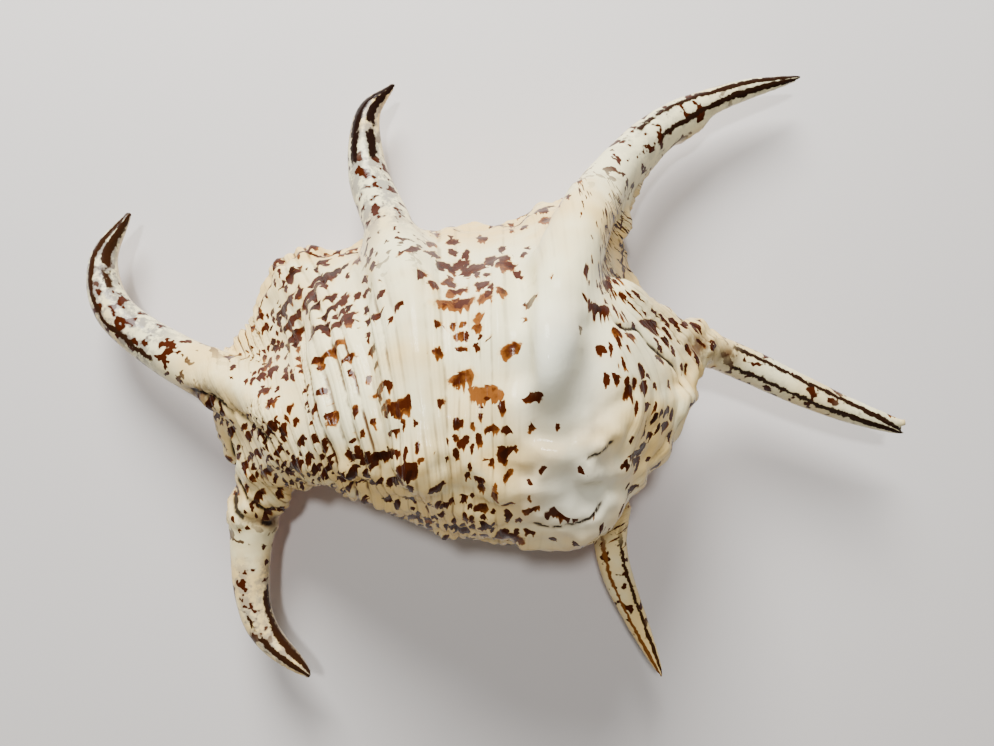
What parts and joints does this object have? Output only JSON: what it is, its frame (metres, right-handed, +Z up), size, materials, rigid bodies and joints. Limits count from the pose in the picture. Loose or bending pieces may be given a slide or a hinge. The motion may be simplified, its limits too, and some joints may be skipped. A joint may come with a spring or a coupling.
{
  "type": "spider conch shell",
  "caption": "Dried sea snail shell of the spider conch kind: a bulbous knobbed whorl and blunt spire with long curved hollow-backed spines round a flared lip, lying on its aperture.",
  "frame": {"origin": "bottom centre of the bounding box, on the surface the shell rests on", "axes": "+X along the coiling axis towards the apex, +Y towards the outer lip, +Z up, out of the shell's back; the aperture faces -Z"},
  "size_m": [0.2484, 0.185, 0.081],
  "materials": {
    "shell": "polished natural shell, cream white with chestnut blotches; opaque"
  },
  "bodies": {
    "root": {"shell": "shell"}
  },
  "joints": []
}
